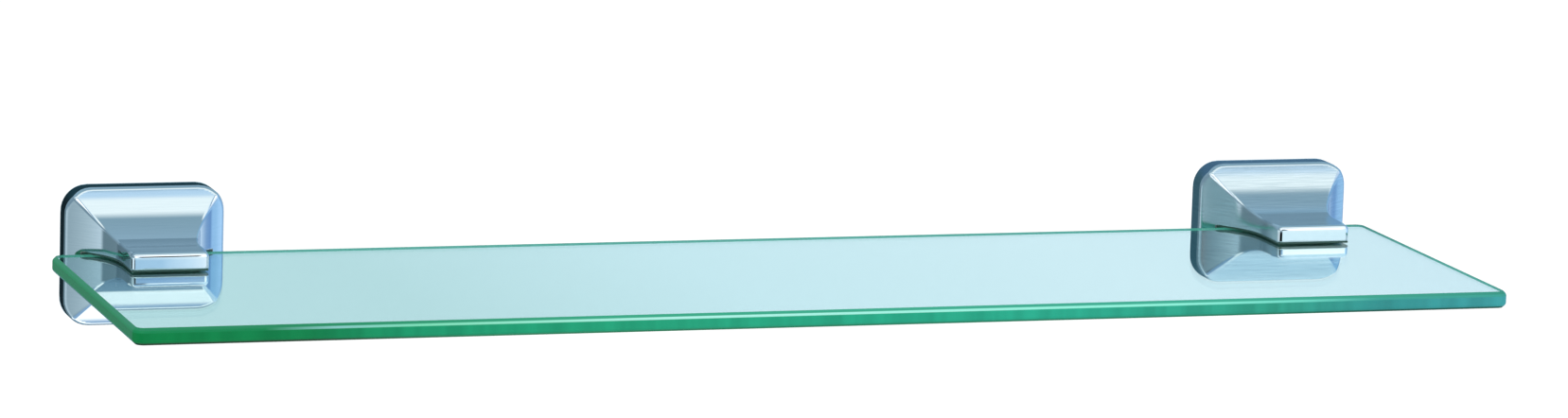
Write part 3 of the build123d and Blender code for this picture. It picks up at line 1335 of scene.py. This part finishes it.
@dataclass
class Studio:
    """White studio: pale floor, one wide lamp, an even sky, and a tent that metal reflects.

    The tent's bands are in degrees: over it from the wall, up, to the front and down, and
    round it from straight ahead, the left below nought. Dark flags round the bases paint the
    shade that falls on the wall beside them, seen only in reflections, and narrow cards stand
    before the jaws.
    """

    floor_drop: float = 0.35
    floor_size: float = 14.0
    floor_lift: float = 0.2
    floor_colour: str = "#F7F8F8"
    # painted shade and tint of the floor as seen through the pane, darker to the left
    painted_shade_through_pane: Bands = (
        (-1.80, -1.00, "#98B8C2"), (0.17, 0.32, "#C0DBDE"), (0.53, "#D6EAF1"),
        (0.80, "#E3F0F7"), (1.20, "#DDE8F3"),
    )
    sky_strength: float = 0.72
    lamp_strength: float = 0.88
    lamp_angle: float = 60.0
    lamp_tilt: Span = (32.0, -18.0)
    tent_radius: float = 1.3
    tent_centre: tuple[float, float, float] = (0.0, -0.02, 0.0)
    tent_strength: float = 2.0
    tent_segments: int = 64
    tent_rings: int = 32
    # The flags are painted shade: dark rings on the wall round each base, standing in for the shade there.
    flag_gap: float = 0.0002
    flag_width: float = 0.005
    flag_back: float = 0.0004
    flag_corner: float = 0.0095
    flag_steps: int = 96
    flag_reach: float = 0.011
    flag_heights: Span = (0.019, 0.025)
    # painted wall shade, darker beside the base than above it, and lighter at the right end
    painted_wall_shade_colours: dict[Side, tuple[str, str]] = field(
        default_factory=lambda: {
            Side.LEFT: ("#1A2A30", "#24434E"),
            Side.RIGHT: ("#456A78", "#4F7694"),
        }
    )
    jaw_half: float = 0.014
    jaw_corner: float = 0.002
    card_gap: float = 0.005
    card_steps: int = 24
    card_heights: Span = (0.0002, 0.006)  # over the pane
    card_strength: float = 1.4
    card_trim: Span = (0.0052, 0.0064)
    card_trim_colour: str = "#8FA8B4"
    jaw_cards: dict[Side, Bands] = field(
        default_factory=lambda: {
            Side.LEFT: (
                (-120.0, -84.0, "#20343C"), (-78.0, -44.0, "#D8ECF4"), (-40.0, -30.0, "#1C2C34"),
                (-24.0, "#A2C9E1"), (55.0, "#A8CDE6"), (71.0, "#CBE6F6"), (76.0, "#E8F8FF"),
            ),
            Side.RIGHT: (
                (-120.0, "#B8CCD2"), (-62.0, "#D0E0E4"), (-56.0, -14.0, "#04080A"),
                (-9.0, 10.0, "#DDF6FC"),
            ),
        }
    )
    over: Bands = (
        (0.0, "#7395A0"), (18.5, "#7E98A8"), (88.0, "#758F9B"), (97.0, 111.0, "#D6DEDD"),
        (114.5, 118.0, "#A7C0D2"), (119.5, 122.5, "#566F7B"), (124.0, 142.0, "#FFFFFF"),
        (144.0, 166.0, "#05080A"), (168.0, 180.0, "#D6E8F0"), (184.0, 197.0, "#7C98B8"),
        (202.0, 216.0, "#FFFFFF"), (222.0, "#6E8CA8"), (263.5, "#7E9BB6"),
        (267.0, 284.5, "#F4F6F4"), (287.0, "#6A8798"), (335.0, "#537086"), (360.0, "#7395A0"),
    )
    low_round: Bands = (
        (-180.0, -108.0, "#5B7078"), (-103.0, "#A5B6BE"), (-85.0, "#95A7AE"), (-62.0, "#7A8D95"),
        (-54.0, "#6E8088"), (-48.0, -24.0, "#10161A"), (-18.0, "#D6E1DF"), (0.0, 12.0, "#7C98B8"),
        (18.0, "#C4D8E2"), (24.0, 45.0, "#FFFFFF"), (62.0, "#B8D0E4"), (82.0, "#A8C8E6"),
        (91.0, "#98BAD8"), (97.0, "#86ACCB"), (104.0, "#82A8CA"), (108.0, "#5E82AC"),
        (118.0, "#6C8CB0"), (140.0, "#9FB5C8"), (160.0, "#8FA8BC"), (180.0, "#5B7078"),
    )
    high_round: Bands = (
        (-180.0, "#7395A0"), (-160.0, "#6E8490"), (-54.0, "#647A86"), (-46.0, -20.0, "#E8F0F2"),
        (-8.0, 12.0, "#58A8FF"), (18.0, 45.0, "#FFFFFF"), (85.0, "#749ABD"), (180.0, "#7395A0"),
    )
    low_right: str = "#BACFDC"
    horizon: Span = (-0.08, 0.08)  # where the low round gives way to the high one
    aside: Span = (0.12, 0.5)  # how far aside the bands round the tent take over
    level: Span = (0.75, 0.4)  # how near level they do
    steep: Span = (0.2, 0.5)  # how far down the low right panel starts
    rightward: Span = (0.15, 0.4)  # how far right it starts

    def tent_material(self) -> Material:
        """Builds the tent's cloth.

        Returns:
            Cloth that glows in bright panels and dim gaps by direction.
        """
        material, tree = new_material("tent_cloth")
        place = add_node(tree, "TexCoord")["Object"]
        unit = add_node(tree, "VectorMath", {"operation": "NORMALIZE"}, place)["Vector"]
        axes = add_node(tree, "SeparateXYZ", {"Vector": unit})
        x, y, z = axes["X"], axes["Y"], axes["Z"]
        turn = add_node(tree, "Math", {"operation": "ARCTAN2"}, z, y)["Value"]
        wrapped = {"operation": "WRAP", 0: turn, 1: 2 * math.pi, 2: 0.0}
        front = add_node(tree, "Math", {"operation": "MULTIPLY"}, y, -1.0)["Value"]
        around = add_node(tree, "Math", {"operation": "ARCTAN2"}, x, front)["Value"]
        over, low, high = (
            colour_along(tree, angle, bands, DEGREE)
            for angle, bands in (
                (add_node(tree, "Math", wrapped)["Value"], self.over),
                (around, self.low_round),
                (around, self.high_round),
            )
        )
        wide, tall = (
            add_node(tree, "Math", {"operation": "ABSOLUTE"}, axis)["Value"] for axis in (x, z)
        )
        above, aside, level, steep, right = (
            add_node(tree, "MapRange", SMOOTH, value, *limits)["Result"]
            for value, limits in (
                (z, self.horizon),
                (wide, self.aside),
                (tall, self.level),
                (tall, self.steep),
                (x, self.rightward),
            )
        )
        below = add_node(tree, "Math", {"operation": "LESS_THAN"}, z, 0.0)["Value"]
        share, low_side = (
            add_node(tree, "Math", {"operation": "MULTIPLY"}, a, b)["Value"]
            for a, b in ((aside, level), (steep, below))
        )
        low_share = add_node(tree, "Math", {"operation": "MULTIPLY"}, low_side, right)["Value"]
        sides = add_node(tree, "Mix", {"data_type": "RGBA", 0: above, 6: low, 7: high})[2]
        colour = add_node(tree, "Mix", {"data_type": "RGBA", 0: share, 6: over, 7: sides})[2]
        panel = {"data_type": "RGBA", 0: low_share, 6: colour, 7: srgb(self.low_right)}
        colour = add_node(tree, "Mix", panel)[2]
        glow = add_node(tree, "Emission", None, colour, self.tent_strength)["Emission"]
        add_node(tree, "OutputMaterial", None, glow)
        return material

    def tent(self) -> None:
        """Puts up the tent: seen only by shiny surfaces."""
        bpy.ops.mesh.primitive_uv_sphere_add(
            segments=self.tent_segments,
            ring_count=self.tent_rings,
            radius=self.tent_radius,
            location=self.tent_centre,
        )
        tent = bpy.context.object
        tent.name = "tent"
        tent.data.materials.append(self.tent_material())
        self.reflected_only(tent)

    def reflected_only(self, piece: bpy.types.Object) -> None:
        """Keeps a stage piece out of sight of all but shiny surfaces."""
        for rays in ("camera", "diffuse", "transmission", "volume_scatter", "shadow"):
            setattr(piece, f"visible_{rays}", False)

    def card_cloth(
        self, material: Material, colour: Socket, strength: float, hidden: Socket
    ) -> Material:
        """Ends a card's material.

        Args:
            material: The material, whose nodes give the two sockets.
            colour: What it glows in.
            strength: How strongly it glows.
            hidden: 1 where it can't be seen, and 0 elsewhere.

        Returns:
            The material.
        """
        tree = material.node_tree
        glow = add_node(tree, "Emission", None, colour, strength)["Emission"]
        clear = add_node(tree, "BsdfTransparent")["BSDF"]
        shown = add_node(tree, "MixShader", None, hidden, glow, clear)["Shader"]
        add_node(tree, "OutputMaterial", None, shown)
        return material

    def stand(
        self,
        name: str,
        rings: Sequence[np.ndarray],
        faces: list[list[int]],
        cloth: Material,
        place: Sequence[float],
    ) -> None:
        """Stands a card that only shiny surfaces show.

        Args:
            name: Its name.
            rings: Its points in rows, about its own place.
            faces: Point numbers of each face.
            cloth: Its material.
            place: Where it stands.
        """
        mesh = make_mesh(name, np.vstack(rings), faces, [0] * len(faces))
        mesh.materials.append(cloth)
        card = link_object(name, mesh)
        card.location = place
        self.reflected_only(card)

    def flag_material(self, side: Side) -> Material:
        """Builds a flag's painted wall shade for one end of the shelf.

        Args:
            side: Which end.

        Returns:
            Painted wall shade, darker beside the base than above it, that only near surfaces show.
        """
        material, tree = new_material(f"painted_wall_shade_flag_{side.value}")
        place = add_node(tree, "TexCoord")["Object"]
        height = add_node(tree, "SeparateXYZ", {"Vector": place})["Z"]
        share = add_node(tree, "MapRange", SMOOTH, height, *self.flag_heights)["Result"]
        beside, above = (srgb(code) for code in self.painted_wall_shade_colours[side])
        colour = add_node(tree, "Mix", {"data_type": "RGBA", 0: share, 6: beside, 7: above})[2]
        reach = add_node(tree, "LightPath")["Ray Length"]
        past = {"operation": "GREATER_THAN", 0: reach, 1: self.flag_reach}
        return self.card_cloth(material, colour, 1.0, add_node(tree, "Math", past)["Value"])

    def flag(self, side: Side, low: Vector, high: Vector) -> None:
        """Sets a dark card round a base, flush with the wall, that only its side walls reflect. It is
        a painted shade that stands in for the shade on the wall round the base.

        Args:
            side: Which end of the shelf.
            low: Lowest corner of the casting's box.
            high: Highest corner of the casting's box.
        """
        count = self.flag_steps
        steps = np.linspace(0, 2 * math.pi, count + 1)[:-1] + math.pi / 4
        turn = np.column_stack([np.cos(steps), np.sin(steps)])
        outer_half = np.array([high.x - low.x, high.z - low.z]) / 2
        rings = []
        for out in (self.flag_gap, self.flag_gap + self.flag_width):
            radius = self.flag_corner + out
            flat = turn * radius + np.sign(np.round(turn, 9)) * (outer_half + out - radius)
            rings.append(np.column_stack([flat[:, 0], np.full(count, self.flag_back), flat[:, 1]]))
        faces = [[i, (i + 1) % count, (i + 1) % count + count, i + count] for i in range(count)]
        centre = ((low.x + high.x) / 2, 0, 0)
        self.stand(f"flag_{side.value}", rings, faces, self.flag_material(side), centre)

    def jaw_card_material(self, side: Side) -> Material:
        """Builds a jaw card's cloth for one end of the shelf.

        Args:
            side: Which end.

        Returns:
            Cloth in strips round the corner of the jaws, that shows on one face only.
        """
        material, tree = new_material(f"jaw_card_{side.value}")
        place = add_node(tree, "TexCoord")["Object"]
        spot = add_node(tree, "SeparateXYZ", {"Vector": place})
        ahead = add_node(tree, "Math", {"operation": "MULTIPLY"}, spot["Y"], -1.0)["Value"]
        turn = add_node(tree, "Math", {"operation": "ARCTAN2"}, spot["X"], ahead)["Value"]
        strips = colour_along(tree, turn, self.jaw_cards[side], DEGREE)
        high = add_node(tree, "MapRange", SMOOTH, spot["Z"], *self.card_trim)["Result"]
        trim = {"data_type": "RGBA", "blend_type": "SCREEN", 0: high, 6: strips}
        colour = add_node(tree, "Mix", {**trim, 7: srgb(self.card_trim_colour)})[2]
        behind = add_node(tree, "NewGeometry")["Backfacing"]
        return self.card_cloth(material, colour, self.card_strength, behind)

    def jaw_card(self, side: Side, low: Vector, high: Vector, glass_top: float) -> None:
        """Stands a narrow card on the pane before the upper jaw, which alone reflects it.

        Args:
            side: Which end of the shelf.
            low: Lowest corner of the casting's box.
            high: Highest corner of the casting's box.
            glass_top: Height of the pane's upper face.
        """
        bands = self.jaw_cards[side]
        start, end = bands[0][0], bands[-1][-2]
        turns = np.radians(np.linspace(start, min(end, 0.0), self.card_steps))
        plan = np.column_stack([np.sin(turns), -np.cos(turns)]) * (self.jaw_corner + self.card_gap)
        if end > 0:
            plan = np.vstack([plan, [2 * self.jaw_half + self.card_gap, plan[-1, 1]]])
        count = len(plan)
        rings = [np.column_stack([plan, np.full(count, glass_top + z)]) for z in self.card_heights]
        faces = [[i + 1, i, i + count, i + count + 1] for i in range(count - 1)]
        corner = ((low.x + high.x) / 2 - self.jaw_half + self.jaw_corner, low.y + self.jaw_corner, 0)
        self.stand(f"jaw_card_{side.value}", rings, faces, self.jaw_card_material(side), corner)

    def floor_material(self) -> Material:
        """Builds white paper that keeps shadows, with painted shade where the pane shows it.

        Returns:
            Paper that reaches the white of the backdrop where it is looked at.
        """
        material, tree = new_material("studio_paper")
        rays = add_node(tree, "LightPath")
        through = rays["Is Transmission Ray"]
        place = add_node(tree, "TexCoord")["Object"]
        across = add_node(tree, "SeparateXYZ", {"Vector": place})["X"]
        # Seen through the pane, the paper takes the painted shade in place of white.
        grade = colour_along(tree, across, self.painted_shade_through_pane)
        paint = {"data_type": "RGBA", 0: through, 6: srgb(self.floor_colour), 7: grade}
        shade = add_node(tree, "Mix", paint)[2]
        paper = add_node(tree, "BsdfDiffuse", {"Color": shade})["BSDF"]
        either = {"operation": "MAXIMUM", 0: rays["Is Camera Ray"], 1: through}
        seen = add_node(tree, "Math", either)["Value"]
        dimmed = {"operation": "MULTIPLY", 0: seen, 1: self.floor_lift}
        lift = add_node(tree, "Math", dimmed)["Value"]
        glow = add_node(tree, "Emission", None, shade, lift)["Emission"]
        add_node(tree, "OutputMaterial", None, add_node(tree, "AddShader", None, paper, glow)["Shader"])
        return material

    def floor(self) -> None:
        """Lays the pale floor below the shelf."""
        half = self.floor_size / 2
        corners = np.array([(-half, -half, 0), (half, -half, 0), (half, half, 0), (-half, half, 0)])
        mesh = make_mesh("floor", corners - (0, 0, self.floor_drop), [[0, 1, 2, 3]], [0])
        mesh.materials.append(self.floor_material())
        floor = link_object("floor", mesh)
        floor.visible_glossy = False

    def sky(self) -> None:
        """Makes the world: white where it is looked at, softer as a lamp."""
        world = bpy.data.worlds.new("studio_sky")
        bpy.context.scene.world = world
        world.use_nodes = True
        tree = world.node_tree
        tree.nodes.clear()
        rays = add_node(tree, "LightPath")
        seen = rays["Is Camera Ray"]
        for kind in ("Is Glossy Ray", "Is Transmission Ray"):
            either = {"operation": "MAXIMUM", 0: seen, 1: rays[kind]}
            seen = add_node(tree, "Math", either)["Value"]
        soft, white = (
            add_node(tree, "Background", None, srgb("#FFFFFF"), strength)["Background"]
            for strength in (self.sky_strength, 1.0)
        )
        mixed = add_node(tree, "MixShader", None, seen, soft, white)["Shader"]
        add_node(tree, "OutputWorld", None, mixed)

    def lamp(self) -> None:
        """Hangs one wide lamp high on the left of the camera."""
        light = bpy.data.lights.new("wide_lamp", "SUN")
        light.energy = self.lamp_strength
        light.angle = math.radians(self.lamp_angle)
        lamp = link_object("wide_lamp", light)
        lamp.rotation_euler = (*(math.radians(tilt) for tilt in self.lamp_tilt), 0)
        lamp.visible_glossy = False

    def build(self) -> None:
        """Sets up the whole studio."""
        self.sky()
        self.lamp()
        self.floor()
        self.tent()
        for side in Side:
            low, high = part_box(f"bracket_body_{side.value}")
            self.flag(side, low, high)
            self.jaw_card(side, low, high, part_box("glass_shelf")[1].z)
        bpy.context.scene.view_settings.view_transform = "Standard"


@dataclass
class Viewpoint:
    """The camera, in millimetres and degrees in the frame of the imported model."""

    place: tuple[float, float, float] = (-757.56, -2457.05, 456.93)
    yaw: float = 17.689
    pitch: float = -9.827
    roll: float = 1.829
    focal_length: float = 163.67725
    sensor_width: float = 36.0
    far_limit: float = 50.0  # metres

    def build(self) -> None:
        """Sets up the camera."""
        yaw, pitch, roll = (math.radians(a) for a in (self.yaw, self.pitch, self.roll))
        ahead = Vector(
            (math.sin(yaw) * math.cos(pitch), math.cos(yaw) * math.cos(pitch), math.sin(pitch))
        )
        level = Vector((math.cos(yaw), -math.sin(yaw), 0))
        upright = level.cross(ahead)
        right = level * math.cos(roll) + upright * math.sin(roll)
        up = upright * math.cos(roll) - level * math.sin(roll)
        data = bpy.data.cameras.new("camera")
        data.sensor_width = self.sensor_width
        data.lens = self.focal_length
        data.clip_end = self.far_limit
        camera = link_object("camera", data)
        turn = Matrix((right, up, -ahead)).transposed().to_4x4()
        camera.matrix_world = Matrix.Translation(Vector(self.place) * MM) @ turn
        bpy.context.scene.camera = camera


def main() -> None:
    """Builds everything in order and reports each piece."""
    logging.basicConfig(level=logging.INFO, format="%(message)s")
    as_cast = GrainyMetal("bare_casting", "#9AA0A2", "#8A8F91", 0.5, 0.25, 0.02).material()
    zinc = GrainyMetal("zinc_plate", "#A9B2B9", "#959EA6", 0.38, 0.35, 0.01).material()
    steel = GrainyMetal("turned_steel", "#8E9194", "#7C7F82", 0.3, 0.15, 0.008).material()
    # The slot liner's dark colour is painted shade: it stands in for the shade inside the slot.
    vinyl = MouldedPlastic("vinyl_painted_slot_shade", "#2C5146", "#25463C", 0.3).material()
    nylon = MouldedPlastic("white_nylon", "#E4E2DA", "#DAD8CF", 0.45).material()

    low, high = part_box("bracket_body_left")
    casting = Casting((high.x - low.x) / MM, (high.z - low.z) / MM, -low.y / MM)
    outsides = {
        Side.LEFT: SatinChrome("fine_satin_chrome", 0.05, 0.08).material(),
        Side.RIGHT: SatinChrome(
            "satin_chrome", 0.13, 0.20, "#DDE3E7", "#A6B5BE", line_depth_mm=0.02
        ).material(),
    }
    polished = PolishedChrome().material()
    bracket = Bracket(casting, [outsides[Side.LEFT], polished, as_cast, as_cast, as_cast])
    mesh = bracket.casting_mesh()
    for side in Side:
        low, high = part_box(f"bracket_body_{side.value}")
        piece = bracket.place(mesh, side, (low.x + high.x) / 2, outsides[side])
        LOG.info("%s: %d faces", piece.name, len(mesh.polygons))

    low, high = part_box("glass_shelf")
    pane = Pane(low, high, FloatGlass().material(), GroundGlassEdge().material()).build()
    LOG.info("%s: %d faces", pane.name, len(pane.data.polygons))

    finishes = {
        "slot_liner": vinyl,
        "wall_plate": zinc,
        "base_screw": steel,
        "clamp_screw": steel,
        "clamp_pad": nylon,
    }
    LOG.info("fittings: %d pieces dressed", Fittings(finishes).dress())

    Studio().build()
    Viewpoint().build()
    LOG.info("studio and camera set")


if __name__ == "__main__":
    main()
